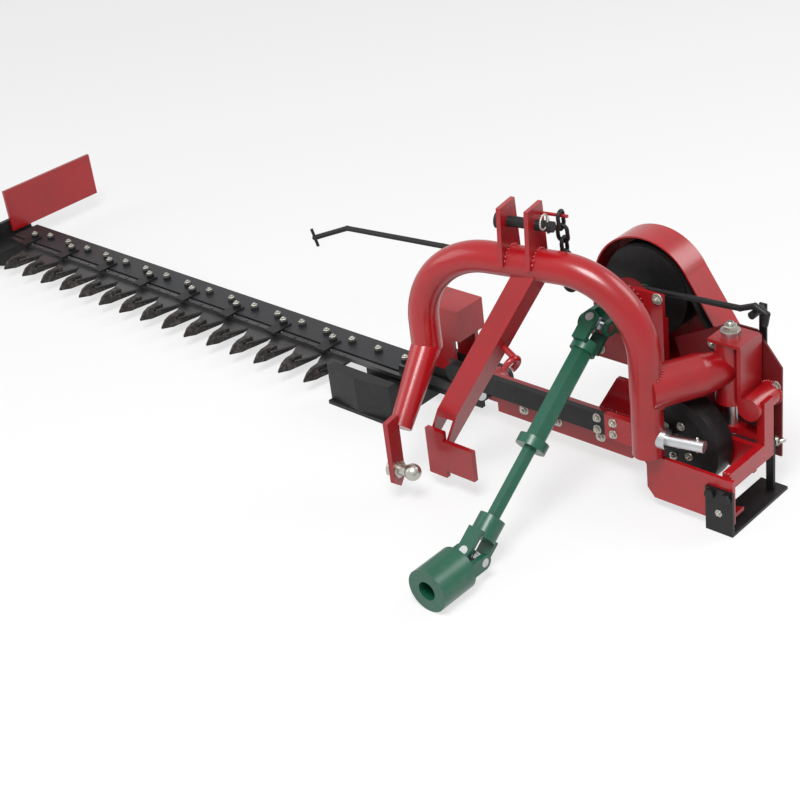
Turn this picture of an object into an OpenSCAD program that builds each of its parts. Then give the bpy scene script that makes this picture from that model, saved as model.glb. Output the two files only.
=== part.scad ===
// Sickle bar mower with a three-point hitch, in millimetres, standing on the ground plane.
// X runs along the cutter bar to the drive side, Y to the rear, Z up.

/* [Cutter bar] */
// Distance from one guard to the next, and the stroke of the knife
guard_pitch = 76.2; // [70:0.1:80]
// Number of guards on the bar
guard_count = 15; // [10:1:18]
// Width of the flat bar
bar_w = 72; // [66:1:76]
// Thickness of the flat bar
bar_t = 10; // [8:0.5:12]
// Height of the bar's top face above the ground
bar_top = 55; // [52:0.5:58]
// Guard length from its tip to the bar's front edge
guard_len = 115; // [110:1:120]
// Width of a guard at its shoulders
guard_w = 34; // [26:1:40]
// Width of the inner shoe along the bar
shoe_w = 170; // [150:1:185]
// Height of the inner shoe's front face
shoe_h = 85; // [76:1:95]
// Length of the swath board behind the bar
board_len = 213; // [150:1:260]
// Height of the swath board
board_h = 110; // [80:1:160]

/* [Crank drive] */
// Height of the crank axis above the ground
crank_z = 108; // [106:0.5:110]
// Radius of the flywheel
wheel_r = 90; // [84:0.5:92]
// Thickness of the flywheel
wheel_t = 45; // [36:0.5:47]
// Length of the pitman between its two eyes
pitman_len = 462; // [455:1:466]
// Height of the pitman bar
pitman_h = 40; // [30:1:44]
// Thickness of the pitman bar
pitman_t = 13; // [10:0.5:14]
// Side of the square main beam
beam_w = 50; // [44:1:52]
// Wall of the main beam
beam_wall = 5; // [3:0.5:8]

/* [Belt drive] */
// How far the input axis lies to the left of the crank axis
input_left = 147; // [142:1:150]
// Height of the input axis above the ground
input_z = 309; // [306:1:314]
// Radius of the input pulley
input_pulley_r = 88; // [80:0.5:92]
// Radius of the crank pulley
crank_pulley_r = 62; // [55:0.5:66]
// Width of both pulleys
pulley_w = 44; // [36:1:46]
// Radius of the belt cover round the input axis
cover_top_r = 109; // [106:0.5:114]
// Radius of the belt cover round the crank axis
cover_low_r = 98; // [95:0.5:102]
// Depth of the belt cover
cover_d = 60; // [56:1:66]

/* [Hitch frame] */
// Outside diameter of the arch tube
arch_od = 57; // [52:0.5:58]
// Wall of the arch tube
arch_wall = 5; // [3:0.5:8]
// Distance between the two legs of the arch
leg_gap = 433; // [425:1:440]
// Bend radius of the arch's two corners
arch_bend = 149; // [130:1:160]
// Height of the arch's top centreline above the ground
arch_top = 448; // [440:1:460]
// Angle of the hitch frame to the bar in the photographed pose
hitch_yaw = 11; // [10:0.5:12]
// Outside diameter of the side arm
arm_od = 76; // [70:0.5:77]
// Outside diameter of the pivot sleeve
sleeve_od = 56; // [52:0.5:58]
// Diameter of the swing pivot pin
pivot_d = 28; // [24:0.5:30]
// Height of the top-link pin above the ground
top_pin_z = 522; // [515:1:535]
// Diameter of the top-link pin
top_pin_d = 19; // [16:0.5:22]
// Diameter of the right hitch pin
hitch_pin_d = 22; // [20:0.5:24]

/* [Drive shaft] */
// Length of the drive shaft between its two joint centres
shaft_len = 462; // [455:1:475]
// Width of the outer tube across its flats
tube_w = 38; // [34:0.5:42]
// Outside radius of the tractor yoke
tractor_r = 40; // [38:0.5:41]
// Bore diameter of the tractor yoke
tractor_bore = 35; // [30:0.5:36]

/* [Skid, stay and rod] */
// Width of the ground skid
skid_w = 54; // [44:1:56]
// Length of the ground skid
skid_len = 177; // [165:1:185]
// Width of the stay
stay_w = 42; // [40:1:48]
// Diameter of the transport rod
rod_d = 11; // [9:0.5:12]

/* [Hidden] */
$fn = 40;

// Shared clearances and overrun
over = 1;
fit = 0.05;
gap = 0.5;
wide_gap = 1;
tuck = 0.3;

// Shares of other sizes
half_share = 0.5;
tip_share = 0.2;
mid_share = 0.6;
six_sides = 6;

// Places along the bar and across it
hinge_left = 457;
guard_inset = 380.2;
shoe_out = 40;
shoe_in = 150;
skid_right = 154;
outer_gap = 70;
outer_w = 80;
left_reach = hinge_left + guard_inset + (guard_count - 1) * guard_pitch + outer_gap + outer_w;
crank_x = (left_reach - skid_right) * half_share;
hinge_x = crank_x - hinge_left;
rear_joint_y = 100;
tractor_len = 114;
shaft_pitch = asin((input_z - tractor_r) / shaft_len);
drive_off = 115;
joint_back = guard_len - drive_off + rear_joint_y;
front_reach = shaft_len * cos(shaft_pitch) + tractor_len - joint_back;
back_reach = guard_len + bar_w + board_len;
tip_y = (front_reach - back_reach) * half_share;
bar_front = tip_y + guard_len;
drive_y = bar_front - drive_off;
bar_rear = bar_front + bar_w;
bar_low = bar_top - bar_t;
bar_end = hinge_x - shoe_in;
stroke_r = guard_pitch * half_share;
last_guard_x = hinge_x - guard_inset - (guard_count - 1) * guard_pitch;
bar_far = last_guard_x - outer_gap - outer_w * half_share;

// Hinge of the cutter bar
hinge_z = 70;
barrel_r = 22;
hinge_pin_r = 12;
arm_t = 10;
barrel_y0_off = 131;
barrel_y0 = drive_y + barrel_y0_off;
barrel_y1_off = 185;
barrel_y1 = drive_y + barrel_y1_off;
arm_low = 50;
arm_high = 92;
arm_back = 160;
pin_head_t = 5;
pin_head_r = 19;

// Depth planes, from the guard tips to the rear
pitman_y0_off = 94;
pitman_y0 = drive_y + pitman_y0_off;
pitman_y1 = pitman_y0 + pitman_t;
wheel_y0_off = 112;
wheel_y0 = drive_y + wheel_y0_off;
wheel_y1 = wheel_y0 + wheel_t;
beam_y0_off = 115;
beam_y0 = drive_y + beam_y0_off;
beam_y1 = beam_y0 + beam_w;
carrier_y0 = beam_y1;
carrier_t = 10;
carrier_y1 = carrier_y0 + carrier_t;
crank_house_y1_off = 228;
crank_house_y1 = drive_y + crank_house_y1_off;
cover_y0_off = 240;
cover_y0 = drive_y + cover_y0_off;
cover_y1 = cover_y0 + cover_d;
pulley_y0_off = 246;
pulley_y0 = drive_y + pulley_y0_off;
pulley_y1 = pulley_y0 + pulley_w;

// Main beam and crank carrier
beam_z0 = 41;
beam_x0_off = 23;
beam_x0 = hinge_x + beam_x0_off;
beam_x1_off = 96;
beam_x1 = crank_x - beam_x1_off;
beam_neck = 24;
carrier_left = 204;
carrier_right = 126;
carrier_z0 = 60;
carrier_z1 = 116;
carrier_mid_z = 165;
carrier_mid_x = 40;
house_r = 45;
bearing_r = 20;
shaft_r = 15;
bore_r = shaft_r + fit;
crank_pin_r = 11;
crank_pin_out = 6;
crank_pin_head_r = 17;
wheel_rim = 22;
wheel_dish = 8;
shaft_tail = 5;
groove_d = 6;
groove_lip = 5;

// Front plate, side rail and skid
plate_left = 24;
plate_right = 151;
plate_y0_off = 60;
plate_y0 = drive_y + plate_y0_off;
plate_t = 8;
plate_z0 = 20;
plate_z1 = 108;
plate_cut = 60;
plate_nip = 15;
plate_drop = 70;
rail_x0_off = 126;
rail_x0 = crank_x + rail_x0_off;
rail_x1_off = 141;
rail_x1 = crank_x + rail_x1_off;
rail_z0 = 82;
rail_z1 = 116;
rail_y1_off = 205;
rail_y1 = drive_y + rail_y1_off;
post_y0_off = 176;
post_y0 = drive_y + post_y0_off;
post_z1 = 200;
skid_x1 = crank_x + skid_right;
skid_x0 = skid_x1 - skid_w;
skid_y0_off = 54;
skid_y0 = drive_y + skid_y0_off;
skid_t = 6;
skid_up = 88;
strap_w = 20;
strap_y0_off = 205;
strap_y0 = drive_y + strap_y0_off;
strap_t = 6;
strap_z1 = 112;
nut_r = 9;
nut_t = 7;

// Swing pivot
pivot_x_off = 63;
pivot_x = crank_x + pivot_x_off;
pivot_y_off = 195;
pivot_y = drive_y + pivot_y_off;
pivot_r = pivot_d * half_share;
sleeve_z0 = 176;
sleeve_z1 = 296;
cap_z0 = sleeve_z1 + wide_gap;
cap_t = 6;
cap_dx = 26;
cap_dy = 31;
lug_z0 = 118;
lug_t = 12;
lug_r = 18;
lug_half = 14;
gusset_x0_off = 94;
gusset_x0 = crank_x + gusset_x0_off;
gusset_t = 8;
gusset_y0_off = 165;
gusset_y0 = drive_y + gusset_y0_off;
gusset_y1_off = 231;
gusset_y1 = drive_y + gusset_y1_off;
pipe_x_off = 116;
pipe_x = crank_x + pipe_x_off;
pipe_z = 185;
pipe_r = 22;
pipe_y0_off = 165;
pipe_y0 = drive_y + pipe_y0_off;
disc_t = 4;
bolt_r = 11;
bolt_t = 9;
pin_tail = 6;

// Input drive
input_x = crank_x - input_left;
input_house_r = 45;
input_house_y0_off = 156;
input_house_y0 = drive_y + input_house_y0_off;
input_house_y1_off = 205;
input_house_y1 = drive_y + input_house_y1_off;
bracket_y0_off = 180;
bracket_y0 = drive_y + bracket_y0_off;
bracket_t = 8;
bracket_left = 67;
bracket_right = 83;
bracket_z0 = 190;
bracket_z1 = 350;
flange_y0_off = 196;
flange_y0 = drive_y + flange_y0_off;
strut_x0_off = 120;
strut_x0 = crank_x - strut_x0_off;
strut_x1_off = 60;
strut_x1 = crank_x - strut_x1_off;
strut_y0 = carrier_y0;
cover_wall = 3;
panel_t = 4;
panel_x0_off = 20;
panel_x0 = crank_x - panel_x0_off;
panel_x1_off = 138;
panel_x1 = crank_x + panel_x1_off;
panel_z0 = 60;
panel_z1 = 238;
panel_top_x_off = 89;
panel_top_x = crank_x + panel_top_x_off;
panel_top_z = 300;
panel_in_x_off = 40;
panel_in_x = crank_x + panel_in_x_off;
panel_bolt_x_off = 80;
panel_bolt_x = crank_x + panel_bolt_x_off;
panel_bolt_z = 255;
belt_t = 7;

// Hitch frame, measured from the swing pivot before it is turned
arch_r = arch_od * half_share;
arch_in = arch_r - arch_wall;
arch_cx = -319;
arch_y = -123;
leg_half = leg_gap * half_share;
right_leg_z = 115;
bend_z = 250;
toe_y = 117;
toe_z = 112;
toe_len = sqrt(toe_y * toe_y + toe_z * toe_z);
toe_turn = atan2(toe_y, toe_z);
toe_plate_t = 10;
toe_r = 21;
toe_plate = [[-18, 172], [-18, 46], [0, 30], [18, 46], [18, 172]];
toe_plate_y_off = 146;
toe_plate_y = arch_y - toe_plate_y_off;
toe_bolt_z = 67;
toe_bolt_r = 11;
toe_ball_r = 16;
toe_bolt_out = 34;
arm_r = arm_od * half_share;
arm_z = 242;
arm_neck = 60;
sleeve_r = sleeve_od * half_share;
tower_half = 26;
tower_t = 8;
tower_z0 = 450;
tower_z1 = 555;
tower_dy = 34;
tower_top_dy = 26;
top_pin_r = top_pin_d * half_share;
top_pin_out = 62;
top_pin_in = 44;
pin_collar_r = 15;
pin_collar_t = 8;
right_pin_z = 150;
right_pin_len = 75;
hitch_pin_r = hitch_pin_d * half_share;
chain_z = 532;
chain_turn = [0, -167, -76];
chain_spin = atan(cos(chain_turn[1]) * cos(chain_turn[2]) / sin(chain_turn[2]));
chain_slack = 0.3;
chain_links = 6;
link_r = 3.5;
lug_pin_r = 3;
link_bend = 9;
link_half = 8;
link_bite = 0.2;
link_step = 2 * (link_half + link_bend - link_r) + link_bite;
chain_lug = [36, 50];

// Drive shaft
fork_in = 22;
fork_t = 9;
fork_r = 14;
fork_reach = 36;
fork_plate = 8;
cross_r = 8;
cross_hub = 11;
hub_r = 24;
yoke_hub = 20;
tube_z1 = 250;
tube_r = tube_w * half_share;
inner_r_off = 6;
inner_r = tube_r - inner_r_off;
inner_z0 = 150;
collar_r = 28;
collar_t = 18;
rear_joint = [input_x, drive_y + rear_joint_y, input_z];
front_joint = [input_x, drive_y + rear_joint_y - shaft_len * cos(shaft_pitch), tractor_r];

// Stay from the arch down to its foot plate
stay_at = -295;
stay_top = [pivot_x + stay_at * cos(hitch_yaw) - arch_y * sin(hitch_yaw),
    pivot_y + stay_at * sin(hitch_yaw) + arch_y * cos(hitch_yaw), arch_top];
stay_x_off = 370;
stay_x = crank_x - stay_x_off;
stay_trim = 6.84;
stay_start = 12;
foot_ahead = 95;
foot_y1 = drive_y - foot_ahead;
foot_z = 106;
stay_run = [stay_x, foot_y1, foot_z] - stay_top;
stay_reach = norm(stay_run);
stay_len = stay_reach + stay_trim;
stay_slope = asin(-stay_run[2] / stay_reach);
stay_turn = atan2(stay_run[0], -stay_run[1]);
stay_roll = 51;
stay_d = 40;
stay_wall = 5;
foot_t = 10;
foot_shape = [[-24, -76], [18, -76], [18, -61], [86, -61], [86, 2], [18, 2], [18, 20], [-24, 20]];
hook_y = -165;
hook_z = -4;
hook_out = 32;
hook_bend = 15;
hook_r = 6;

// Transport rod
rod_y_off = 215;
rod_y = drive_y + rod_y_off;
rod_r = rod_d * half_share;
rod_path = [[-979, 240], [-874, 285], [-606, 306], [70, 346], [99, 358], [122, 348], [118, 326]];
rod_cross = 20;
rod_knuckle = 0.4;
rod_stub_x_off = 98;
rod_stub_x = crank_x + rod_stub_x_off;
rod_stub_z = 343.6;
rod_stub_r = 7;
rod_stub_y0_off = 205;
rod_stub_y0 = drive_y + rod_stub_y0_off;
rod_post_low = 262;

// Cutter bar details
guard_heel = 45;
guard_relief = 20;
guard_side = [[0, 33], [0, 37], [14, 49], [30, 53], [62, 51], [62, 46], [38, 46],
    [38, 41.5], [guard_len, 41.5],
    [guard_len, bar_low], [guard_len + guard_heel, bar_low], [guard_len + guard_heel, 30],
    [guard_len - guard_relief, 26], [30, 26]];
guard_low = 20;
guard_high = 60;
guard_bolt_back = 35;
bolt_head_r = 9;
bolt_head_t = 7;
section_z0 = 42;
section_inset = 3;
section_root = 21;
section_t = 3;
section_tip = 42;
section_back = guard_len - section_inset;
section_heel = guard_len - section_root;
section_tip_w = 8;
section_slit = 0.3;
knife_y0_off = 100;
knife_y0 = drive_y + knife_y0_off;
knife_y1_off = 112;
knife_y1 = drive_y + knife_y1_off;
knife_z1 = 53;
knife_head_y0_off = 108;
knife_head_y0 = drive_y + knife_head_y0_off;
knife_head_y1_off = 114;
knife_head_y1 = drive_y + knife_head_y1_off;
head_left = 207;
head_ear_left = 62;
head_ear_right = 22;
head_z1 = 128;
head_bend_z = 72;
clip_w = 30;
clip_t = 4;
clip_front_off = 88;
clip_front = drive_y + clip_front_off;
clip_back_off = 140;
clip_back = drive_y + clip_back_off;
clip_drop = 1.5;
clip_gap = 0.6;
sole_t = 8;
shoe_x1_off = 147;
shoe_x1 = hinge_x - shoe_x1_off;
shoe_x0 = shoe_x1 - shoe_w;
shoe_y0_off = 5;
shoe_y0 = tip_y + shoe_y0_off;
shoe_wall = 12;
shoe_pad = 20;
shoe_nose = 30;
slot_y0_off = 36;
slot_y0 = tip_y + slot_y0_off;
box_left = 131;
box_right = 42;
box_top = 230;
box_low = 165;
box_wall = 6;
box_leg = 20;
board_t = 8;
board_low = 20;
board_toe = 60;

// Helpers
module box_at(x0, x1, y0, y1, z0, z1) translate([x0, y0, z0]) cube([x1 - x0, y1 - y0, z1 - z0]);
module rod_at_x(x0, x1, y, z, r) translate([x0, y, z]) rotate([0, 90, 0]) cylinder(h = x1 - x0, r = r);
module rod_at_y(y0, y1, x, z, r) translate([x, y0, z]) rotate([-90, 0, 0]) cylinder(h = y1 - y0, r = r);
module rod_at_z(z0, z1, x, y, r) translate([x, y, z0]) cylinder(h = z1 - z0, r = r);
module slab_y(y0, y1) translate([0, y1, 0]) rotate([90, 0, 0]) linear_extrude(height = y1 - y0) children();
module slab_x(x0, x1) translate([x0, 0, 0]) rotate([90, 0,
    90]) linear_extrude(height = x1 - x0) children();
module in_hitch() translate([pivot_x, pivot_y, 0]) rotate([0, 0, hitch_yaw]) children();
module in_shaft() translate(rear_joint) rotate([90 + shaft_pitch, 0, 0]) children();
module in_stay() translate(stay_top) rotate([0, 0, stay_turn]) rotate([stay_slope, 0, 0])
    rotate([0, stay_roll, 0]) children();

// Fork of a universal joint: ears on X, hub towards Z
module fork(hub_radius, hub_end) {
    difference() {
        union() {
            for (side = [-1, 1]) {
                translate([side * (fork_in + fork_t * half_share), 0, 0]) {
                    rotate([0, 90, 0]) cylinder(h = fork_t, r = fork_r, center = true);
                    translate([-fork_t * half_share, -fork_r, 0]) cube([fork_t, 2 * fork_r,
                        fork_reach + fork_plate]);
                }
            }
            translate([-fork_in, -fork_r, fork_reach]) cube([2 * fork_in, 2 * fork_r, fork_plate]);
            translate([0, 0, fork_reach]) cylinder(h = hub_end - fork_reach, r = hub_radius);
        }
        rod_at_x(-fork_in - fork_t - over, fork_in + fork_t + over, 0, 0, cross_r + fit);
    }
}
module joint_cross() {
    for (side = [0 : 3]) rotate([0, 0, side * 90]) rod_at_x(cross_hub - over, fork_in + fork_t, 0, 0,
        cross_r);
    cube(2 * cross_hub, center = true);
}

// Outline round both pulleys, upright in the X-Z plane
function pulley_dx() = crank_x - input_x;
function pulley_dz() = crank_z - input_z;
function pulley_gap() = sqrt(pulley_dx() * pulley_dx() + pulley_dz() * pulley_dz());
function pulley_dir() = atan2(pulley_dz(), pulley_dx());
function lean(ra, rb) = acos((ra - rb) / pulley_gap());
module both_round(ra, rb) {
    translate([input_x, input_z]) circle(r = ra);
    translate([crank_x, crank_z]) circle(r = rb);
    up = pulley_dir() + lean(ra, rb);
    ta = ra - tuck;
    tb = rb - tuck;
    down = pulley_dir() - lean(ra, rb);
    polygon([[input_x + ta * cos(up), input_z + ta * sin(up)], [crank_x + tb * cos(up),
        crank_z + tb * sin(up)],
        [crank_x + tb * cos(down), crank_z + tb * sin(down)], [input_x + ta * cos(down),
            input_z + ta * sin(down)]]);
}

// Main frame
module main_beam() color("#b3201f") {
    difference() {
        union() {
            box_at(beam_x0 + beam_neck, beam_x1, beam_y0, beam_y1, beam_z0, beam_z0 + beam_w);
            box_at(hinge_x, beam_x0 + beam_neck + beam_wall, barrel_y0, beam_y1, hinge_z - barrel_r,
                hinge_z + barrel_r - over);
            rod_at_y(barrel_y0, barrel_y1, hinge_x, hinge_z, barrel_r);
        }
        box_at(beam_x0 + beam_neck + beam_wall, beam_x1 - beam_wall, beam_y0 + beam_wall,
            beam_y1 - beam_wall,
            beam_z0 + beam_wall, beam_z0 + beam_w - beam_wall);
        rod_at_y(barrel_y0 - over, barrel_y1 + over, hinge_x, hinge_z, hinge_pin_r + fit);
    }
}
module crank_carrier() color("#a81d1c") {
    difference() {
        slab_y(carrier_y0, carrier_y1) polygon([[crank_x - carrier_left, carrier_z0],
            [crank_x + carrier_right, carrier_z0], [crank_x + carrier_right, carrier_z1],
            [crank_x + carrier_mid_x, carrier_z1], [crank_x + carrier_mid_x, carrier_mid_z],
            [strut_x0 - carrier_mid_x, carrier_mid_z], [crank_x - carrier_left, beam_z0 + beam_w]]);
        rod_at_y(carrier_y0 - over, carrier_y1 + over, crank_x, crank_z, shaft_r + wide_gap);
    }
}
module crank_housing() color("#a81d1c") {
    difference() {
        rod_at_y(carrier_y1, crank_house_y1, crank_x, crank_z, house_r);
        rod_at_y(carrier_y1 - over, crank_house_y1 + over, crank_x, crank_z, bore_r);
    }
}
module front_plate() color("#b3201f") {
    slab_y(plate_y0, plate_y0 + plate_t) polygon([[crank_x - plate_left, plate_z1],
        [crank_x + plate_right, plate_z1],
        [crank_x + plate_right, plate_z0], [crank_x - plate_left + plate_nip, plate_z0],
        [crank_x - plate_left, plate_z1 - plate_drop]]);
    translate([0, 0, plate_z0]) linear_extrude(height = plate_t) polygon([[rail_x0 - skid_w,
        plate_y0 + plate_t],
        [rail_x1, plate_y0 + plate_t], [rail_x1, plate_y0 + beam_w]]);
}
module side_rail() color("#b3201f") {
    difference() {
        box_at(rail_x0, rail_x1, plate_y0 + plate_t, rail_y1, rail_z0, rail_z1);
        box_at(rail_x0 - over, rail_x1 + over, carrier_y0, carrier_y1, rail_z0 - over, rail_z1 + over);
    }
    box_at(rail_x0, rail_x1, carrier_y0, carrier_y1, rail_z0, rail_z1);
    difference() {
        box_at(rail_x0, rail_x1, post_y0, rail_y1, rail_z1 - over, post_z1);
        rod_at_y(pipe_y0 - over, cover_y0 + over, pipe_x, pipe_z, pipe_r);
    }
}
module ground_skid() color("#17181a") {
    box_at(skid_x0, skid_x1, skid_y0, skid_y0 + skid_len, 0, skid_t);
    box_at(skid_x0, skid_x1, skid_y0, skid_y0 + skid_t, 0, skid_up);
    box_at(rail_x0, rail_x1, strap_y0, strap_y0 + strap_t, 0, strap_z1);
    rod_at_y(strap_y0 + strap_t - over, strap_y0 + strap_t + nut_t, (rail_x0 + rail_x1) * half_share,
        (rail_z0 + rail_z1) * half_share, nut_r * mid_share);
    for (px = [skid_x0 + bolt_r, skid_x1 - bolt_r])
        rod_at_y(skid_y0 - nut_t, skid_y0 + over, px, skid_up - bolt_r, nut_r);
}
module swing_bracket() color("#b3201f") {
    difference() {
        union() {
            box_at(pivot_x - cap_dx, gusset_x0 + gusset_t, pivot_y - cap_dy, pivot_y + cap_dy,
                cap_z0, cap_z0 + cap_t);
            box_at(gusset_x0, gusset_x0 + gusset_t, gusset_y0, gusset_y1, pipe_z, cap_z0 + over);
            rod_at_y(pipe_y0, cover_y0 - panel_t, pipe_x, pipe_z, pipe_r);
            rod_at_z(lug_z0, lug_z0 + lug_t, pivot_x, pivot_y, lug_r);
            box_at(pivot_x, rail_x0, pivot_y - lug_half, pivot_y + lug_half * mid_share, lug_z0,
                lug_z0 + lug_t);
        }
        rod_at_z(lug_z0 - over, cap_z0 + cap_t + over, pivot_x, pivot_y, pivot_r + fit);
        box_at(pivot_x - lug_r - over, pivot_x + lug_r + over, carrier_y0, carrier_y1, lug_z0 - over,
            lug_z0 + lug_t + over);
    }
}
module pivot_pin() color("#6d7176") {
    rod_at_z(lug_z0 - pin_tail, cap_z0 + cap_t, pivot_x, pivot_y, pivot_r);
    rod_at_z(cap_z0 + cap_t, cap_z0 + cap_t + bolt_t, pivot_x, pivot_y, pivot_r + over);
}
module input_bracket() color("#b3201f") {
    difference() {
        union() {
            box_at(input_x - bracket_left, input_x + bracket_right, bracket_y0, bracket_y0 + bracket_t,
                bracket_z0, bracket_z1);
            box_at(input_x + bracket_right - bracket_t, input_x + bracket_right, bracket_y0, flange_y0,
                bracket_z0, bracket_z1 - beam_w);
            box_at(strut_x0, strut_x1, carrier_y1, bracket_y0 + bracket_t, carrier_z1, bracket_z0 + over);
        }
        rod_at_y(bracket_y0 - over, bracket_y0 + bracket_t + over, input_x, input_z, input_house_r);
    }
}
module input_housing() color("#8f1a19") {
    difference() {
        rod_at_y(input_house_y0, input_house_y1, input_x, input_z, input_house_r);
        rod_at_y(input_house_y0 - over, input_house_y1 + over, input_x, input_z, bore_r);
    }
}
module belt_cover() color("#b3201f") {
    difference() {
        slab_y(cover_y0, cover_y1) both_round(cover_top_r, cover_low_r);
        slab_y(cover_y0 - over, cover_y1 - cover_wall) both_round(cover_top_r - cover_wall,
            cover_low_r - cover_wall);
    }
}
module cover_panel() color("#5c1213") {
    difference() {
        slab_y(cover_y0 - panel_t, cover_y0) polygon([[panel_x0, panel_z0], [panel_x1, panel_z0],
            [panel_x1, panel_z1],
            [panel_top_x, panel_top_z], [panel_in_x, panel_top_z], [panel_x0 - plate_cut, panel_z1]]);
        rod_at_y(cover_y0 - panel_t - over, cover_y0 + over, crank_x, crank_z, shaft_r + wide_gap);
    }
    rod_at_y(cover_y0 - panel_t - bolt_head_t, cover_y0 - panel_t + over, panel_bolt_x, panel_bolt_z,
        bolt_head_r);
}
module drive_belt() color("#1c1c1e") {
    slab_y(pulley_y0 + groove_lip + gap, pulley_y1 - groove_lip - gap) difference() {
        both_round(input_pulley_r - groove_d + gap + belt_t, crank_pulley_r - groove_d + gap + belt_t);
        both_round(input_pulley_r - groove_d + gap, crank_pulley_r - groove_d + gap);
    }
}
module rod_post() color("#3a3c40") {
    rod_at_y(rod_stub_y0, cover_y0, rod_stub_x, rod_stub_z, rod_stub_r);
    box_at(rod_stub_x - rod_stub_r, rod_stub_x + rod_stub_r, cover_y0, cover_y0 + panel_t, rod_post_low,
        rod_stub_z + rod_stub_r);
}

// Hitch frame
module arch_core(r) {
    translate([arch_cx, arch_y, 0]) {
        rod_at_x(arch_bend - leg_half, leg_half - arch_bend, 0, arch_top, r);
        for (side = [0, 1]) mirror([side, 0, 0]) translate([leg_half - arch_bend, 0, arch_top - arch_bend])
            rotate([90, 0, 0]) rotate_extrude(angle = 90) translate([arch_bend, 0]) circle(r = r);
        rod_at_z(right_leg_z, arch_top - arch_bend, leg_half, 0, r);
        rod_at_z(bend_z, arch_top - arch_bend, -leg_half, 0, r);
    }
}
module toe_core(r, len) {
    translate([arch_cx - leg_half, arch_y, bend_z]) {
        sphere(r = r + rod_knuckle);
        rotate([180 - toe_turn, 0, 0]) cylinder(h = len, r1 = r, r2 = toe_r);
    }
}
module hitch_arch() color("#b3201f") in_hitch() {
    difference() {
        union() {
            arch_core(arch_r);
            toe_core(arch_r, toe_len);
        }
        arch_core(arch_in);
        rod_at_z(right_leg_z - over, right_leg_z + over, arch_cx + leg_half, arch_y, arch_in);
    }
}
module arm_core(len) {
    cylinder(h = arm_neck, r1 = sleeve_r - over, r2 = arm_r);
    translate([0, 0, arm_neck]) cylinder(h = len - arm_neck, r = arm_r);
}
module side_arm() color("#b3201f") in_hitch() {
    difference() {
        translate([0, 0, arm_z]) rotate([0, 90, atan2(arch_y, arch_cx + leg_half)])
            arm_core(sqrt(arch_y * arch_y + (arch_cx + leg_half) * (arch_cx + leg_half)));
        rod_at_z(right_leg_z, arch_top, arch_cx + leg_half, arch_y, arch_r);
        rod_at_z(sleeve_z0 - over, sleeve_z1 + over, 0, 0, sleeve_r);
    }
}
module pivot_sleeve() color("#a81d1c") in_hitch() {
    difference() {
        rod_at_z(sleeve_z0, sleeve_z1, 0, 0, sleeve_r);
        rod_at_z(sleeve_z0 - over, sleeve_z1 + over, 0, 0, pivot_r + fit);
    }
}
module top_tower() color("#a81d1c") in_hitch() {
    difference() {
        union() {
            for (side = [-1, 1]) translate([arch_cx + side * tower_half, arch_y, 0])
                slab_x(-tower_t * half_share, tower_t * half_share) polygon([[-tower_dy, tower_z0],
                    [tower_dy, tower_z0],
                    [tower_top_dy, tower_z1], [-tower_top_dy, tower_z1]]);
            translate([arch_cx + tower_half, arch_y + tower_dy - tower_t, chain_z])
                rotate([0, 90, 0]) cylinder(h = chain_lug[1], r = lug_pin_r);
        }
        rod_at_x(arch_cx - leg_half, arch_cx + leg_half, arch_y, arch_top, arch_r);
        rod_at_x(arch_cx - leg_half, arch_cx + leg_half, arch_y, top_pin_z, top_pin_r);
    }
}
module top_pin() color("#2a2c30") in_hitch() {
    rod_at_x(arch_cx - top_pin_in, arch_cx + top_pin_out, arch_y, top_pin_z, top_pin_r);
    rod_at_x(arch_cx - top_pin_in, arch_cx - top_pin_in + pin_collar_t, arch_y, top_pin_z, pin_collar_r);
}
module left_plate() color("#a81d1c") in_hitch() {
    difference() {
        translate([arch_cx - leg_half, toe_plate_y, 0])
            slab_x(-toe_plate_t * half_share, toe_plate_t * half_share) polygon(toe_plate);
        toe_core(arch_r, toe_len);
        rod_at_x(arch_cx - leg_half - toe_plate_t, arch_cx - leg_half + toe_plate_t, toe_plate_y,
            toe_bolt_z, toe_bolt_r);
    }
}
module left_bolt() color("#c4c7cb") in_hitch() {
    translate([arch_cx - leg_half, toe_plate_y, toe_bolt_z]) {
        rod_at_x(-toe_bolt_out * half_share, toe_bolt_out, 0, 0, toe_bolt_r);
        translate([toe_bolt_out, 0, 0]) sphere(r = toe_ball_r);
        rod_at_x(-toe_plate_t * half_share - bolt_t, -toe_plate_t * half_share, 0, 0, toe_ball_r);
        rod_at_x(toe_plate_t * half_share, toe_plate_t * half_share + link_r, 0, 0, toe_ball_r);
    }
}
module right_pin() color("#6d7176") in_hitch() {
    difference() {
        union() {
            rod_at_x(arch_cx + leg_half, arch_cx + leg_half + arch_r + right_pin_len, arch_y,
                right_pin_z, hitch_pin_r);
            rod_at_x(arch_cx + leg_half, arch_cx + leg_half + arch_r + pin_collar_t, arch_y,
                right_pin_z, arm_t + bolt_t);
        }
        rod_at_z(right_leg_z - over, arch_top, arch_cx + leg_half, arch_y, arch_r);
    }
}
module chain_link() {
    for (side = [-1, 1]) {
        rod_at_z(-link_half, link_half, side * link_bend, 0, link_r);
        translate([0, 0, side * link_half]) rotate([90, 0, 0]) rotate([0, 0, side > 0 ? 0 : 180])
            rotate_extrude(angle = 180) translate([link_bend, 0]) circle(r = link_r);
    }
}
module lift_chain() color("#1c1d20") in_hitch() {
    translate([arch_cx + tower_half + chain_lug[0], arch_y + tower_dy - tower_t, chain_z])
        rotate(chain_turn) for (i = [0 : chain_links - 1])
            translate([0, 0, i * link_step + link_half + link_bend - 2 * link_r - chain_slack])
                rotate([0, 0, chain_spin + i % 2 * 90]) chain_link();
}

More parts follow.
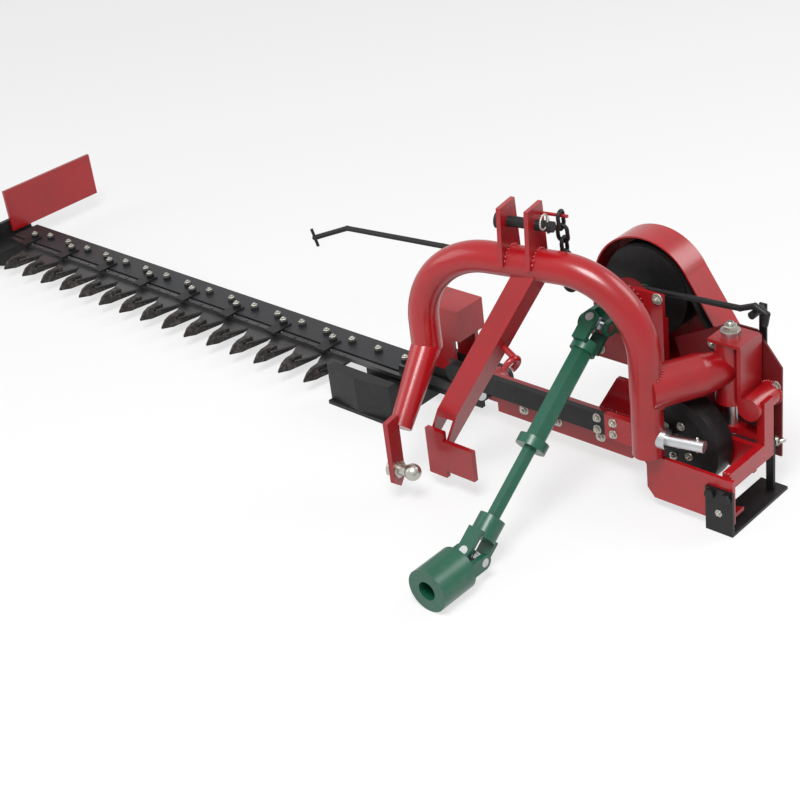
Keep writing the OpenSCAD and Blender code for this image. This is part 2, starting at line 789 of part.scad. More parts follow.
// Cutter bar
module guard_at(i) {
    gx = hinge_x - guard_inset - i * guard_pitch;
    intersection() {
        translate([gx, tip_y, 0]) slab_x(-guard_w, guard_w) polygon(guard_side);
        translate([gx, tip_y, guard_low]) linear_extrude(height = guard_high) polygon([[-over, 0],
            [over, 0],
            [guard_w * tip_share, section_tip], [guard_w * half_share, section_heel],
            [guard_w * half_share, guard_len + bar_w], [-guard_w * half_share, guard_len + bar_w],
            [-guard_w * half_share, section_heel], [-guard_w * tip_share, section_tip]]);
    }
}
module guards() color("#2b2523") {
    for (i = [0 : guard_count - 1]) guard_at(i);
}
module cutter_bar() color("#33363a") {
    box_at(bar_far, bar_end, bar_front, bar_rear, bar_low, bar_top);
    for (i = [-2 : guard_count - 1])
        rod_at_z(bar_top - over, bar_top + bolt_head_t, hinge_x - guard_inset - i * guard_pitch,
            bar_front + guard_bolt_back, bolt_head_r);
}
module clips() color("#1f2023") {
    for (i = [0 : 2 : guard_count - 1]) {
        cx = hinge_x - guard_inset - (i + half_share) * guard_pitch;
        slab = clip_w * half_share;
        box_at(cx - slab, cx + slab, clip_front, clip_back, bar_top, bar_top + clip_t);
        rod_at_z(bar_top + clip_t - over, bar_top + clip_t + bolt_head_t, cx,
            bar_front + arm_t + pin_tail, bolt_head_r);
    }
}
module inner_shoe() color("#1b1c1e") {
    difference() {
        union() {
            box_at(shoe_x0, shoe_x1, shoe_y0, bar_rear, 0, sole_t);
            translate([0, shoe_y0, 0]) linear_extrude(height = shoe_h) polygon([[shoe_x0, shoe_wall],
                [shoe_x0, arm_t],
                [(shoe_x0 + shoe_x1) * half_share, 0], [shoe_x1, arm_t], [shoe_x1, shoe_nose],
                [shoe_x0, shoe_nose]]);
            box_at(shoe_x0, shoe_x1, bar_front + pin_tail, bar_rear, sole_t - over, bar_low);
            box_at(shoe_x0 + shoe_w * half_share, shoe_x1, shoe_y0 + shoe_wall,
                bar_front + pin_tail + over,
                0, section_z0 - pin_tail);
        }
    }
}
module hinge_yoke() color("#1f2023") {
    difference() {
        union() {
            for (y0 = [barrel_y0 - arm_t - over, barrel_y1 + over]) {
                box_at(shoe_x1, hinge_x, y0, y0 + arm_t, arm_low - shoe_pad, arm_high);
                rod_at_y(y0, y0 + arm_t, hinge_x, hinge_z, barrel_r);
            }
            box_at(shoe_x1, shoe_x1 + shoe_pad, barrel_y0 - arm_t - over, barrel_y1 + arm_t + over,
                arm_low - shoe_pad, arm_high);
        }
        rod_at_y(barrel_y0 - beam_w, barrel_y1 + beam_w, hinge_x, hinge_z, hinge_pin_r);
        box_at(shoe_x1 - over, hinge_x, barrel_y0 - beam_w, knife_head_y1 + gap, 0, arm_high + over);
        box_at(shoe_x1 - over, bar_end, barrel_y0 - beam_w, bar_rear, bar_low, bar_top);
    }
}
module hinge_pin() color("#6d7176") {
    rod_at_y(barrel_y0 - arm_t - over - pin_head_t, barrel_y1 + arm_t + over + pin_tail, hinge_x,
        hinge_z, hinge_pin_r);
    rod_at_y(barrel_y0 - arm_t - over - pin_head_t, barrel_y0 - arm_t - over, hinge_x, hinge_z,
        pin_head_r);
}
module lift_box() color("#b3201f") {
    bx0 = hinge_x - box_left;
    bx1 = hinge_x - box_right;
    by0 = barrel_y0 - arm_t - over;
    by1 = barrel_y1 + arm_t + over;
    difference() {
        box_at(bx0, bx1, by0, by1, box_low, box_top);
        box_at(bx0 + box_wall, bx1 - box_wall, by0 + box_wall, by1 - box_wall, box_low - over,
            box_top - box_wall);
    }
    for (y0 = [by0, by1 - arm_t]) box_at(bx0 + box_leg, bx0 + box_leg + beam_w, y0, y0 + arm_t,
        arm_high, box_low + over);
}
module outer_shoe() color("#1b1c1e") {
    ox0 = last_guard_x - outer_gap - outer_w;
    ox1 = last_guard_x - outer_gap;
    difference() {
        union() {
            slab_x(ox0, ox1) polygon([[tip_y - sole_t, board_toe * half_share], [tip_y + board_toe,
                0], [bar_rear, 0],
                [bar_rear, bar_low], [bar_front, bar_low], [tip_y + board_toe, bar_low], [tip_y,
                    bar_low]]);
            box_at(ox0, ox0 + shoe_wall, tip_y + board_toe, bar_rear, bar_low - over, shoe_h);
        }
    }
}
module swath_board() color("#b3201f") {
    ox0 = last_guard_x - outer_gap - outer_w;
    box_at(ox0 + shoe_wall, ox0 + shoe_wall + board_t, bar_rear - board_toe, bar_rear + board_len,
        bar_top + over, bar_top + board_h);
}

// Knife
module knife_back() color("#5f646a") {
    box_at(bar_far, hinge_x - head_left + shoe_pad, knife_y0, knife_y1 - wide_gap,
        section_z0 + section_t, knife_z1);
}
module knife_sections() color("#8b9097") {
    half = guard_pitch * half_share - section_slit;
    for (i = [0 : guard_count - 1]) translate([hinge_x - guard_inset - i * guard_pitch, tip_y, section_z0])
        linear_extrude(height = section_t) polygon([[-half, section_back], [half, section_back],
            [half, section_heel], [section_tip_w, section_tip], [-section_tip_w, section_tip],
                [-half, section_heel]]);
}
module knife_head() color("#5f646a") {
    slab_y(knife_head_y0, knife_head_y1) polygon([[hinge_x - head_left, knife_z1],
        [hinge_x - head_ear_left, knife_z1],
        [hinge_x - head_ear_right, head_bend_z], [hinge_x - head_ear_right, head_z1],
        [hinge_x - head_ear_left, head_z1], [hinge_x - head_ear_left, head_bend_z],
        [hinge_x - head_left, head_bend_z]]);
}

// Crank and pitman
module flywheel() color("#1c1d20") {
    difference() {
        rod_at_y(wheel_y0, wheel_y1, crank_x, crank_z, wheel_r);
        difference() {
            rod_at_y(wheel_y0 - over, wheel_y0 + wheel_dish, crank_x, crank_z, wheel_r - wheel_rim);
            rod_at_y(wheel_y0 - beam_w, wheel_y1, crank_x - stroke_r, crank_z, crank_pin_head_r);
        }
        rod_at_y(wheel_y0 - over, wheel_y1 + over, crank_x, crank_z, shaft_r);
    }
    rod_at_y(pitman_y0 - crank_pin_out, wheel_y0 + over, crank_x - stroke_r, crank_z, crank_pin_r);
}
module crank_shaft() color("#8b9097") {
    rod_at_y(wheel_y0 + wheel_dish, pulley_y1 + shaft_tail, crank_x, crank_z, shaft_r);
}
module pulley(px, pz, r) {
    difference() {
        rod_at_y(pulley_y0, pulley_y1, px, pz, r);
        difference() {
            rod_at_y(pulley_y0 + groove_lip, pulley_y1 - groove_lip, px, pz, r + over);
            rod_at_y(pulley_y0, pulley_y1, px, pz, r - groove_d);
        }
        rod_at_y(pulley_y0 - over, pulley_y1 + over, px, pz, shaft_r);
    }
}
module crank_pulley() color("#26282c") pulley(crank_x, crank_z, crank_pulley_r);
module pitman_bar() color("#1a1b1d") {
    px = crank_x - stroke_r - pitman_len;
    rod_at_y(pitman_y0, pitman_y1, px, crank_z, pitman_h * half_share);
    box_at(px, crank_x - stroke_r - beam_w - beam_w, pitman_y0, pitman_y1, crank_z - pitman_h * half_share,
        crank_z + pitman_h * half_share);
}
module pitman_head() color("#b3201f") {
    px = crank_x - stroke_r;
    difference() {
        union() {
            rod_at_y(pitman_y0, pitman_y1, px, crank_z, pitman_h * half_share + pin_tail);
            box_at(px - beam_w - beam_w, px, pitman_y0, pitman_y1,
                crank_z - pitman_h * half_share - pin_head_t,
                crank_z + pitman_h * half_share + pin_head_t);
        }
        rod_at_y(pitman_y0 - over, pitman_y1 + over, px, crank_z, crank_pin_r + fit);
    }
}

// Input drive and drive shaft
module input_shaft() color("#3f6f3a") {
    translate(rear_joint) rotate([-90, 0, 0]) fork(hub_r, fork_reach + yoke_hub - gap);
    rod_at_y(drive_y + rear_joint_y + fork_reach + yoke_hub - over, pulley_y1 + shaft_tail, input_x,
        input_z, shaft_r);
}
module input_pulley() color("#26282c") pulley(input_x, input_z, input_pulley_r);
module rear_cross() color("#8b9097") in_shaft() joint_cross();
module shaft_tube() color("#3f7a3a") in_shaft() {
    difference() {
        union() {
            rotate([0, 0, 90]) fork(hub_r, fork_reach + yoke_hub);
            translate([0, 0,
                fork_reach + yoke_hub - over]) cylinder(h = tube_z1 - fork_reach - yoke_hub,
                r = tube_r + over, $fn = six_sides);
            translate([0, 0, tube_z1 - collar_t]) cylinder(h = collar_t, r = collar_r);
        }
        translate([0, 0, inner_z0 - beam_w]) cylinder(h = shaft_len, r = inner_r + gap, $fn = six_sides);
    }
}
module shaft_inner() color("#4a8a44") in_shaft() {
    translate([0, 0, inner_z0]) cylinder(h = shaft_len - fork_reach - inner_z0 - over, r = inner_r,
        $fn = six_sides);
    translate([0, 0, shaft_len]) rotate([180, 0, 90]) fork(hub_r, fork_reach + yoke_hub + yoke_hub);
}
module front_cross() color("#8b9097") in_shaft() translate([0, 0, shaft_len]) joint_cross();
module tractor_yoke() color("#3f7a3a") {
    translate(front_joint) rotate([90, 0, 0]) difference() {
        fork(tractor_r, tractor_len);
        translate([0, 0, fork_reach - over]) cylinder(h = tractor_len, r = tractor_bore * half_share);
    }
}

// Stay and transport rod
module hitch_stay() color("#b3201f") {
    difference() {
        in_stay() {
            difference() {
                translate([-stay_w * half_share, -stay_len, -stay_d * half_share])
                    cube([stay_w, stay_len - stay_start, stay_d]);
                translate([stay_wall - stay_w * half_share, -stay_len - over, -stay_d])
                    cube([stay_w - 2 * stay_wall, stay_len - stay_start + 2 * over,
                        stay_d * half_share + stay_d - stay_wall]);
            }
            rod_at_x(stay_w * half_share - over, stay_w * half_share + hook_out, hook_y, hook_z, hook_r);
            translate([stay_w * half_share + hook_out, hook_y - hook_bend, hook_z]) rotate([90, 0, 90])
                rotate([0, 0, -140])
                rotate_extrude(angle = 280) translate([hook_bend, 0]) circle(r = hook_r);
        }
        box_at(stay_x - stay_len, stay_x + stay_len, foot_y1 - stay_len, foot_y1, -stay_len, stay_len);
        in_hitch() rod_at_x(arch_cx - leg_half, arch_cx + leg_half, arch_y, arch_top, arch_r);
    }
}
module stay_foot() color("#b3201f") translate([stay_x, 0, foot_z])
    slab_y(foot_y1 - foot_t, foot_y1) polygon(foot_shape);
module rod_piece(a, b) {
    translate([crank_x + a[0], rod_y, a[1]]) {
        rotate([0, 90 - atan2(b[1] - a[1], b[0] - a[0]), 0]) cylinder(h = norm(b - a), r = rod_r);
        sphere(r = rod_r + rod_knuckle);
    }
}
module transport_rod() color("#17181a") {
    for (i = [0 : len(rod_path) - 2]) rod_piece(rod_path[i], rod_path[i + 1]);
    translate([crank_x + rod_path[0][0], rod_y, rod_path[0][1]]) rotate([0, -20, 0])
        translate([0, 0, -rod_cross]) cylinder(h = 2 * rod_cross, r = rod_r * mid_share);
}

main_beam();
crank_carrier();
crank_housing();
front_plate();
side_rail();
ground_skid();
swing_bracket();
pivot_pin();
input_bracket();
input_housing();
belt_cover();
cover_panel();
drive_belt();
rod_post();
hitch_arch();
side_arm();
pivot_sleeve();
top_tower();
top_pin();
left_plate();
left_bolt();
right_pin();
lift_chain();
inner_shoe();
hinge_yoke();
hinge_pin();
lift_box();
cutter_bar();
guards();
clips();
outer_shoe();
swath_board();
knife_back();
knife_sections();
knife_head();
flywheel();
crank_shaft();
crank_pulley();
pitman_bar();
pitman_head();
input_shaft();
input_pulley();
rear_cross();
shaft_tube();
shaft_inner();
front_cross();
tractor_yoke();
hitch_stay();
stay_foot();
transport_rod();
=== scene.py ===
import math
import bmesh
import bpy
from mathutils import Matrix, Vector


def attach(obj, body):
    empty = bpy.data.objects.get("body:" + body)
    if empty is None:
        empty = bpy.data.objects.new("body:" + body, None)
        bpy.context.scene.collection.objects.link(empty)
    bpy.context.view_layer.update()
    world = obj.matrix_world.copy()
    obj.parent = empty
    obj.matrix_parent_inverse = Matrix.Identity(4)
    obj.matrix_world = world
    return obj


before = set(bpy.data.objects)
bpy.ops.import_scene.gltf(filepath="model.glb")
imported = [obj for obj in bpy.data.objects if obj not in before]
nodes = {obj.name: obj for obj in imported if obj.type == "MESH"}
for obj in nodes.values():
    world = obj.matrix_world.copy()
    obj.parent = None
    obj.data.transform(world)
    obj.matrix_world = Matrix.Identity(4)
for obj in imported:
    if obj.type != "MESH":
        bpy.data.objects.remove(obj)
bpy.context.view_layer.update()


# ---------- materials ----------
COAT_ROUGH = 0.15
BUMP_DEPTH = 0.0012  # metres


def material(name, base, dark, rough=0.4, metal=0.0, scale=60.0, bump=0.08, wear=None, wear_amt=0.0, coat=0.0,
             grime=None, grime_amt=0.0, spec=0.5):
    """Mottled paint or metal: base to dark, with optional grime in patches and wear on the edges."""
    m = bpy.data.materials.new(name)
    m.use_nodes = True
    nt = m.node_tree
    bsdf = nt.nodes["Principled BSDF"]
    bsdf.inputs["Metallic"].default_value = metal
    bsdf.inputs["Coat Weight"].default_value = coat
    bsdf.inputs["Specular IOR Level"].default_value = spec
    bsdf.inputs["Coat Roughness"].default_value = COAT_ROUGH

    def node(kind, **kw):
        n = nt.nodes.new(kind)
        for k, v in kw.items():
            setattr(n, k, v)
        return n

    tc = node("ShaderNodeTexCoord")

    def noise(sc, detail=6.0, rough_=0.6):
        n = node("ShaderNodeTexNoise")
        n.inputs["Scale"].default_value = sc
        n.inputs["Detail"].default_value = detail
        n.inputs["Roughness"].default_value = rough_
        nt.links.new(tc.outputs["Object"], n.inputs["Vector"])
        return n

    def ramp(src, a, b, c0=(0, 0, 0, 1), c1=(1, 1, 1, 1)):
        r = node("ShaderNodeValToRGB")
        r.color_ramp.elements[0].position = a
        r.color_ramp.elements[1].position = b
        r.color_ramp.elements[0].color = c0
        r.color_ramp.elements[1].color = c1
        nt.links.new(src, r.inputs["Fac"])
        return r.outputs["Color"]

    def mix(fac, c0, c1):
        x = node("ShaderNodeMix", data_type="RGBA")
        for sock, val in ((x.inputs["Factor"], fac), (x.inputs["A"], c0), (x.inputs["B"], c1)):
            if isinstance(val, (tuple, float)):
                sock.default_value = val
            else:
                nt.links.new(val, sock)
        return x.outputs["Result"]

    big = noise(scale * 0.12)
    fine = noise(scale * 4.0, 3.0)
    col = mix(ramp(big.outputs["Fac"], 0.35, 0.7), (*base, 1), (*dark, 1))
    if grime:
        g = ramp(noise(scale * 0.35, 9.0, 0.7).outputs["Fac"], 0.52, 0.72, (0, 0, 0, 1),
                 (grime_amt, grime_amt, grime_amt, 1))
        col = mix(g, col, (*grime, 1))
    if wear:
        geo = node("ShaderNodeNewGeometry")
        edge = ramp(geo.outputs["Pointiness"], 0.515, 0.56)
        spots = ramp(noise(scale * 1.2, 8.0, 0.75).outputs["Fac"], 0.5, 0.62)
        both = node("ShaderNodeMath", operation="MULTIPLY")
        nt.links.new(edge, both.inputs[0])
        nt.links.new(spots, both.inputs[1])
        amt = node("ShaderNodeMath", operation="MULTIPLY")
        amt.inputs[1].default_value = wear_amt
        nt.links.new(both.outputs[0], amt.inputs[0])
        col = mix(amt.outputs[0], col, (*wear, 1))
    nt.links.new(col, bsdf.inputs["Base Color"])
    rr = node("ShaderNodeMapRange")
    rr.inputs["To Min"].default_value = max(0.05, rough - 0.1)
    rr.inputs["To Max"].default_value = min(1.0, rough + 0.14)
    nt.links.new(big.outputs["Fac"], rr.inputs["Value"])
    nt.links.new(rr.outputs["Result"], bsdf.inputs["Roughness"])
    bp = node("ShaderNodeBump")
    bp.inputs["Strength"].default_value = bump
    bp.inputs["Distance"].default_value = BUMP_DEPTH
    nt.links.new(fine.outputs["Fac"], bp.inputs["Height"])
    nt.links.new(bp.outputs["Normal"], bsdf.inputs["Normal"])
    return m


RED = material("red_paint_look", (0.34, 0.004, 0.008), (0.25, 0.003, 0.006), rough=0.28, scale=40, bump=0.04,
               wear=(0.12, 0.02, 0.018), wear_amt=0.25, coat=0.3, grime=(0.20, 0.006, 0.008), grime_amt=0.2,
               spec=0.45)
# the red paint made darker: painted shade on the cover panel and the two bearing housings
SHADED_RED = material("shaded_red_look", (0.15, 0.006, 0.008), (0.09, 0.004, 0.006), rough=0.45, scale=40, spec=0.35)
BLACK = material("black_paint_look", (0.006, 0.006, 0.007), (0.012, 0.012, 0.012), rough=0.42, scale=45, bump=0.1,
                 wear=(0.06, 0.056, 0.052), wear_amt=0.12, grime=(0.018, 0.016, 0.014), grime_amt=0.12, spec=0.3)
CAST = material("guard_iron_look", (0.010, 0.009, 0.009), (0.020, 0.016, 0.014), rough=0.5, metal=0.1, scale=70,
                bump=0.3, wear=(0.14, 0.12, 0.11), wear_amt=0.5, grime=(0.030, 0.020, 0.015), grime_amt=0.25,
                spec=0.4)
BAR = material("bar_steel_look", (0.012, 0.013, 0.016), (0.024, 0.024, 0.026), rough=0.42, metal=0.15, scale=50,
               bump=0.18, wear=(0.16, 0.155, 0.15), wear_amt=0.4, grime=(0.035, 0.028, 0.022), grime_amt=0.2,
               spec=0.4)
STEEL = material("bright_steel_look", (0.60, 0.61, 0.62), (0.44, 0.45, 0.46), rough=0.3, metal=1.0, scale=80,
                 bump=0.1)
BLADE = material("blade_steel_look", (0.12, 0.12, 0.125), (0.07, 0.066, 0.066), rough=0.36, metal=0.9, scale=60,
                 bump=0.12, grime=(0.07, 0.045, 0.03), grime_amt=0.3)
RUBBER = material("belt_rubber_look", (0.010, 0.010, 0.011), (0.018, 0.018, 0.018), rough=0.75, scale=90, bump=0.3,
                  spec=0.25)
GREEN = material("green_paint_look", (0.008, 0.088, 0.050), (0.006, 0.066, 0.039), rough=0.34, scale=45, bump=0.06,
                 wear=(0.10, 0.13, 0.11), wear_amt=0.12, coat=0.15, grime=(0.010, 0.060, 0.036), grime_amt=0.15,
                 spec=0.45)
ZINC = material("zinc_look", (0.55, 0.54, 0.48), (0.42, 0.41, 0.38), rough=0.34, metal=1.0, scale=90, bump=0.1)

# nodes that aren't named here are red; the cover panel and the two bearing housings get the red paint darkened as
# painted shade
looks = {"guards": CAST, "cutter_bar": BAR, "clips": BLACK, "knife_sections": BLADE, "knife_back": BLADE,
         "knife_head": BLADE, "inner_shoe": BLACK, "outer_shoe": BLACK, "hinge_yoke": BLACK, "hinge_pin": STEEL,
         "ground_skid": BLACK, "transport_rod": BLACK, "lift_chain": BLACK, "flywheel": BLACK,
         "crank_pulley": BLACK, "input_pulley": BLACK, "drive_belt": RUBBER, "pitman_bar": BLACK,
         "top_pin": BLACK, "rod_post": BLACK, "pivot_pin": STEEL, "left_bolt": ZINC, "right_pin": STEEL,
         "crank_shaft": STEEL, "rear_cross": STEEL, "front_cross": STEEL, "input_shaft": GREEN,
         "shaft_tube": GREEN, "shaft_inner": GREEN, "tractor_yoke": GREEN, "cover_panel": SHADED_RED,
         "crank_housing": SHADED_RED, "input_housing": SHADED_RED}
for name, obj in nodes.items():
    obj.data.materials.clear()
    obj.data.materials.append(looks.get(name, RED))


# ---------- small parts ----------
def turn_to(axis):
    """The turn that takes +Z to axis."""
    return Vector((0, 0, 1)).rotation_difference(Vector(axis).normalized()).to_matrix().to_4x4()


def keep(name, bm, look, body, smooth=False):
    """Make the mesh an object that rides on a body."""
    me = bpy.data.meshes.new(name)
    bmesh.ops.recalc_face_normals(bm, faces=bm.faces)
    bm.to_mesh(me)
    bm.free()
    for p in me.polygons:
        p.use_smooth = smooth
    o = bpy.data.objects.new(name, me)
    me.materials.append(look)
    bpy.context.collection.objects.link(o)
    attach(o, body)


def lathe(bm, place, axis, profile, sides):
    """Rings of (radius, height) round axis, closed at both ends."""
    m = Matrix.Translation(Vector(place)) @ turn_to(axis)
    turns = [2 * math.pi * k / sides for k in range(sides)]
    rings = [[bm.verts.new(m @ Vector((r * math.cos(t), r * math.sin(t), h))) for t in turns] for r, h in profile]
    for a, b in zip(rings, rings[1:]):
        for k in range(sides):
            bm.faces.new((a[k], a[(k + 1) % sides], b[(k + 1) % sides], b[k]))
    bm.faces.new(rings[0][::-1])
    bm.faces.new(rings[-1])


def hexbolt(bm, place, axis, r, h, washer=True):
    """A hexagon head with its thread end, on a washer or bare."""
    base = 0.0
    if washer:
        lathe(bm, place, axis, [(r * 1.35, 0), (r * 1.35, 0.0012), (r * 1.25, 0.0018)], 20)
        base = 0.0016
    lathe(bm, place, axis, [(r, base), (r, base + h * 0.82), (r * 0.84, base + h)], 6)
    lathe(bm, place, axis, [(r * 0.5, base + h * 0.9), (r * 0.5, base + h * 1.5),
                            (r * 0.38, base + h * 1.65)], 14)


def dome(bm, place, axis, r=0.004, h=0.0025):
    """A rivet head."""
    lathe(bm, place, axis, [(r, 0), (r * 0.92, h * 0.5), (r * 0.6, h * 0.86), (r * 0.2, h)], 12)


def bead(bm, points, r=0.003, step=0.006):
    """A weld bead: overlapping ripples along a line of points."""
    pts = [Vector(p) for p in points]
    for a, b in zip(pts, pts[1:]):
        n = max(1, int((b - a).length / step))
        d = (b - a).normalized()
        for k in range(n):
            p = a + (b - a) * ((k + 0.5) / n)
            q = r * (1.0 + 0.12 * math.sin(k * 2.3))
            lathe(bm, p - d * q * 0.9, d,
                  [(q * 0.55, 0), (q, q * 0.7), (q * 0.8, q * 1.3), (q * 0.4, q * 1.8)], 8)


def ring(centre, axis, r, n=28):
    """Points of a closed circle."""
    m = Matrix.Translation(Vector(centre)) @ turn_to(axis)
    turns = [math.radians(360.0 * k / n) for k in range(n + 1)]
    return [m @ Vector((r * math.cos(t), r * math.sin(t), 0)) for t in turns]


# places in millimetres, in the frame that the photo was measured in
ROW_X, ROW_Y = 954.0, 5.195  # the row frame's origin
PIVOT_X, PIVOT_Y = 1967, 195  # the hitch's swing pivot
HITCH_YAW = math.radians(11)
CRANK_X, CRANK_Z = 1904, 108
INPUT_X, INPUT_Z = 1757, 309
FLANGE_R = 34  # circle of the bolts on the housing and the flywheel
GUARD_X, GUARD_PITCH, GUARDS = 1066.8, 76.2, 15
UP, FRONT, REAR = (0, 0, 1), (0, -1, 0), (0, 1, 0)
# the arch and its pieces, in the turned hitch frame
ARCH_X, ARCH_Y, ARCH_Z, ARCH_R = -319, -123, 448, 28.5
LEG_X, TOWER_HALF, PLATE_FACE, WELD_R = -102.5, 26, 4.5, 28.9
ARM_Z, ARM_R = 242, 38.0
PIN_X, PIN_Z, PIN_RING_Z = -319 + 52, 510, 536


def W(x, y, z):
    """Millimetres in the photo frame to metres in the row frame."""
    return Vector(((x - ROW_X) / 1000, (y - ROW_Y) / 1000, z / 1000))


def Hf(x, y, z):
    """Millimetres in the turned hitch frame, from the swing pivot."""
    c, s = math.cos(HITCH_YAW), math.sin(HITCH_YAW)
    return W(PIVOT_X + x * c - y * s, PIVOT_Y + x * s + y * c, z)


hitch_along = Vector((math.cos(HITCH_YAW), math.sin(HITCH_YAW), 0))

# one bolt on each guard, then one on each hold-down clip
bm = bmesh.new()
for i in range(-2, GUARDS):
    hexbolt(bm, W(GUARD_X - i * GUARD_PITCH, 150, 62), UP, 0.0075, 0.005, False)
for i in range(0, GUARDS, 2):
    hexbolt(bm, W(GUARD_X - (i + 0.5) * GUARD_PITCH, 131, 66), UP, 0.0075, 0.005, False)
keep("bar_bolts", bm, ZINC, "cutterbar")

bm = bmesh.new()
for i in range(GUARDS):
    for dx in (-20, 20):
        dome(bm, W(GUARD_X - i * GUARD_PITCH + dx, 106, 53), UP)
keep("knife_rivets", bm, BLADE, "knife", True)

# bolts of the main frame
bm = bmesh.new()
hexbolt(bm, W(PIVOT_X, PIVOT_Y, 312), UP, 0.013, 0.009)
for x, y, z in ((1984, 229, 255), (1905, 236, 250), (2030, 236, 90), (2030, 236, 200)):
    hexbolt(bm, W(x, y, z), FRONT, 0.008, 0.005)
for k in range(4):
    t = math.radians(45 + 90 * k)
    hexbolt(bm, W(INPUT_X + FLANGE_R * math.cos(t), 156, INPUT_Z + FLANGE_R * math.sin(t)), FRONT, 0.006, 0.004)
for x, y, z in ((1700, 180, 208), (1830, 180, 208), (1700, 180, 342), (1830, 180, 342), (2030, 60, 40),
                (1560, 115, 66), (1640, 115, 66), (1740, 115, 66)):
    hexbolt(bm, W(x, y, z), FRONT, 0.008, 0.005)
keep("frame_bolts", bm, ZINC, "main_frame")

bm = bmesh.new()
for x in (1785, 1750):
    for z in (96, 120):
        hexbolt(bm, W(x, 94, z), FRONT, 0.0065, 0.0045)
keep("pitman_bolts", bm, ZINC, "pitman")

bm = bmesh.new()
for k in range(6):
    t = math.radians(60 * k + 15)
    hexbolt(bm, W(CRANK_X + FLANGE_R * math.cos(t), 120, CRANK_Z + FLANGE_R * math.sin(t)), FRONT, 0.006, 0.004)
keep("wheel_bolts", bm, ZINC, "crank")

# wing nut of the skid
bm = bmesh.new()
lathe(bm, W(2037, 218, 99), REAR, [(0.0075, 0), (0.0075, 0.006), (0.005, 0.009)], 16)
for side in (-1, 1):
    lathe(bm, W(2037 + side * 5, 221, 99), (side * 0.8, 0.6, 0.25),
          [(0.0028, 0), (0.0042, 0.006), (0.0044, 0.012), (0.002, 0.016)], 12)
keep("skid_wing_nuts", bm, ZINC, "main_frame", True)

# weld beads
bm = bmesh.new()
bead(bm, [W(1494, 165, 41), W(1494, 165, 91)])
bead(bm, [W(1702, 165, 91.5), W(1806, 165, 91.5)], 0.0028)
bead(bm, ring(W(CRANK_X, 175.5, CRANK_Z), REAR, 0.0455))
bead(bm, ring(W(INPUT_X, 179.5, INPUT_Z), REAR, 0.0455))
bead(bm, [W(2030, 69, 116), W(2045, 69, 116)])
bead(bm, [W(2045.5, 69, 84), W(2045.5, 69, 115)])
bead(bm, [W(1998, 166, 297), W(1998, 224, 297)])
bead(bm, ring(W(2020, 235, 185), REAR, 0.0225))
keep("frame_welds", bm, RED, "main_frame", True)

# both faces of each tower plate over the arch, then the side arm round the arch's leg
bm = bmesh.new()
for side in (-1, 1):
    for face in (-PLATE_FACE, PLATE_FACE):
        bead(bm, [Hf(ARCH_X + side * TOWER_HALF + face, ARCH_Y + WELD_R * math.sin(math.radians(t)),
                     ARCH_Z + WELD_R * math.cos(math.radians(t))) for t in range(-75, 76, 15)])
to_pivot = Vector((-LEG_X, -ARCH_Y, 0)).normalized()
across = Vector((-to_pivot.y, to_pivot.x, 0))
pts = []
for k in range(33):
    t = 2 * math.pi * k / 32
    off = ARCH_R * math.sin(t)
    fwd = math.sqrt(max(0.0, WELD_R ** 2 - off ** 2))
    p = Vector((LEG_X, ARCH_Y, 0)) + to_pivot * fwd + across * off
    rise = math.sqrt(ARM_R ** 2 - off ** 2) * (1 if math.cos(t) > 0 else -1)
    pts.append(Hf(p.x, p.y, ARM_Z + rise))
for part in (pts[:8], pts[9:16], pts[17:24], pts[25:]):
    bead(bm, part)
keep("hitch_welds", bm, RED, "hitch_frame", True)

# linch pin with its ring in the top pin, split pin in the right hitch pin
bm = bmesh.new()
lathe(bm, Hf(PIN_X, ARCH_Y, PIN_Z), UP, [(0.003, 0), (0.003, 0.028), (0.002, 0.03)], 12)
wire = ring(Hf(PIN_X, ARCH_Y - 14, PIN_RING_Z), hitch_along, 0.013, 20)
for a, b in zip(wire, wire[1:]):
    lathe(bm, a, b - a, [(0.0016, 0), (0.0016, (b - a).length)], 8)
lathe(bm, Hf(-12, ARCH_Y, 136), UP, [(0.0022, 0), (0.0022, 0.028), (0.0016, 0.03)], 12)
keep("linch_pins", bm, ZINC, "hitch_frame", True)

# grease nipples on the two joints, along the sloping shaft
SHAFT_SLOPE = math.radians(35.61)
NIPPLE = [(0.0035, 0), (0.0035, 0.003), (0.002, 0.0045), (0.0026, 0.006), (0.0015, 0.008)]
shaft_axis = Vector((0, -math.cos(SHAFT_SLOPE), -math.sin(SHAFT_SLOPE)))
for name, body, centre in (("rear_nipple", "cross_rear", W(INPUT_X, 100, INPUT_Z)),
                           ("front_nipple", "cross_front", W(INPUT_X, -275.6, 40))):
    bm = bmesh.new()
    lathe(bm, centre + shaft_axis * 0.0105, shaft_axis, NIPPLE, 12)
    keep(name, bm, ZINC, body, True)


# ---------- floor, light and camera ----------
FLOOR_HALF = 14.0
FLOOR_DROP = 0.0005
FLOOR_GREY = 0.75
FLOOR_WHITE = 0.66  # share of plain white that seen rays get from the floor
WORLD_LIGHT = 0.42
CAMERA_TURN = (46.4, 30.1, 7.6)  # azimuth, elevation and roll, in degrees
CAMERA_AT = (3.296 - 0.954, -1.858 - 0.0052, 1.640)


def seen_rays(tree):
    """One for rays that show the background: camera, glossy and transmission."""
    rays = tree.nodes.new("ShaderNodeLightPath")
    out = rays.outputs["Is Camera Ray"]
    for kind in ("Is Glossy Ray", "Is Transmission Ray"):
        top = tree.nodes.new("ShaderNodeMath")
        top.operation = "MAXIMUM"
        tree.links.new(out, top.inputs[0])
        tree.links.new(rays.outputs[kind], top.inputs[1])
        out = top.outputs[0]
    return out


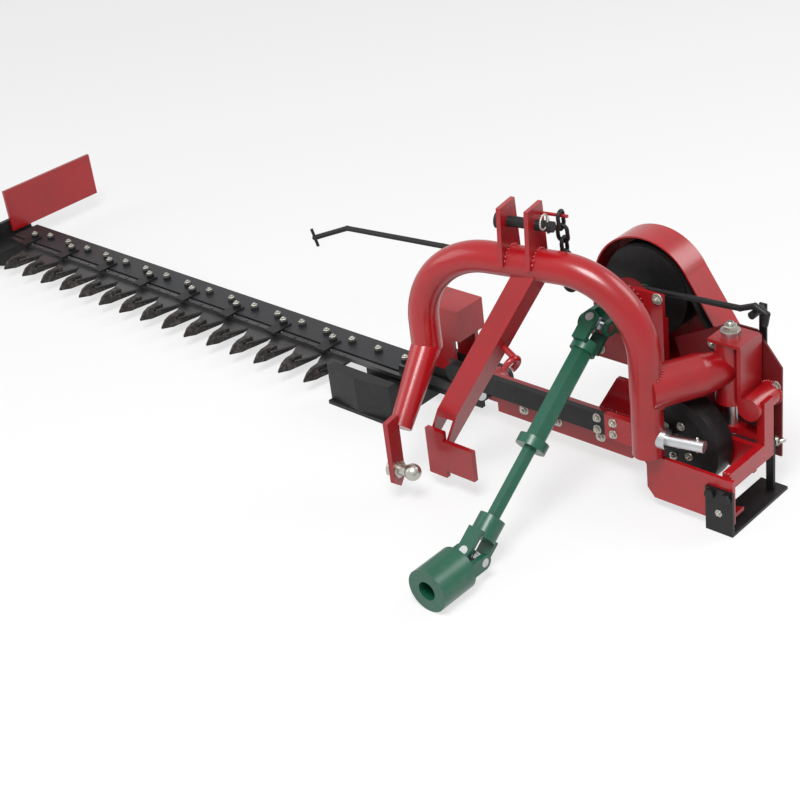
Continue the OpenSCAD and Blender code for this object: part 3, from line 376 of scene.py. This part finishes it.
mesh = bpy.data.meshes.new("floor")
mesh.from_pydata([(x * FLOOR_HALF, y * FLOOR_HALF, 0) for x, y in ((-1, -1), (1, -1), (1, 1), (-1, 1))], [],
                 [(0, 1, 2, 3)])
floor = bpy.data.objects.new("floor", mesh)
bpy.context.collection.objects.link(floor)
floor.location.z = -FLOOR_DROP
fm = bpy.data.materials.new("floor_look")
fm.use_nodes = True
fn = fm.node_tree
matt = fn.nodes["Principled BSDF"]
matt.inputs["Base Color"].default_value = (FLOOR_GREY, FLOOR_GREY, FLOOR_GREY, 1)
matt.inputs["Roughness"].default_value = 0.9
matt.inputs["Specular IOR Level"].default_value = 0.1
white = fn.nodes.new("ShaderNodeEmission")
white.inputs["Strength"].default_value = 1.0
share = fn.nodes.new("ShaderNodeMath")
share.operation = "MULTIPLY"
share.inputs[1].default_value = FLOOR_WHITE
fn.links.new(seen_rays(fn), share.inputs[0])
blend = fn.nodes.new("ShaderNodeMixShader")
fn.links.new(share.outputs[0], blend.inputs["Fac"])
fn.links.new(matt.outputs["BSDF"], blend.inputs[1])
fn.links.new(white.outputs["Emission"], blend.inputs[2])
fn.links.new(blend.outputs["Shader"], fn.nodes["Material Output"].inputs["Surface"])
floor.data.materials.append(fm)

world = bpy.data.worlds.new("studio")
bpy.context.scene.world = world
world.use_nodes = True
wn = world.node_tree
bg = wn.nodes["Background"]
bg.inputs["Color"].default_value = (1, 1, 1, 1)
bg.inputs["Strength"].default_value = WORLD_LIGHT
seen = wn.nodes.new("ShaderNodeBackground")
seen.inputs["Strength"].default_value = 1.0
pick = wn.nodes.new("ShaderNodeMixShader")
wn.links.new(seen_rays(wn), pick.inputs["Fac"])
wn.links.new(bg.outputs["Background"], pick.inputs[1])
wn.links.new(seen.outputs["Background"], pick.inputs[2])
wn.links.new(pick.outputs["Shader"], wn.nodes["World Output"].inputs["Surface"])


def area(name, place, aim, size, power):
    d = bpy.data.lights.new(name, "AREA")
    d.size = size
    d.energy = power
    o = bpy.data.objects.new(name, d)
    o.location = place
    o.rotation_euler = (Vector(aim) - Vector(place)).to_track_quat("-Z", "Y").to_euler()
    bpy.context.collection.objects.link(o)


area("key", (1.6, -1.6, 3.4), (0.4, 0, 0.2), 1.4, 130)
area("fill", (-2.6, -2.4, 2.2), (0.2, 0, 0.2), 2.5, 40)
area("rim", (2.6, 2.6, 2.6), (0.6, 0, 0.2), 2.0, 60)

az, el, roll = (math.radians(v) for v in CAMERA_TURN)
back = Vector((math.sin(az) * math.cos(el), -math.cos(az) * math.cos(el), math.sin(el)))
right = Vector((math.cos(az), math.sin(az), 0))
up = back.cross(right)
cam_x = math.cos(roll) * right - math.sin(roll) * up
cam_y = math.sin(roll) * right + math.cos(roll) * up
cam_data = bpy.data.cameras.new("camera")
cam_data.lens = 72.36
cam_data.sensor_width = 36.0
cam_data.clip_end = 60
cam = bpy.data.objects.new("camera", cam_data)
cam.matrix_world = Matrix([(cam_x[k], cam_y[k], back[k], CAMERA_AT[k]) for k in range(3)] + [(0, 0, 0, 1)])
bpy.context.collection.objects.link(cam)
bpy.context.scene.camera = cam
bpy.context.scene.view_settings.view_transform = "Standard"
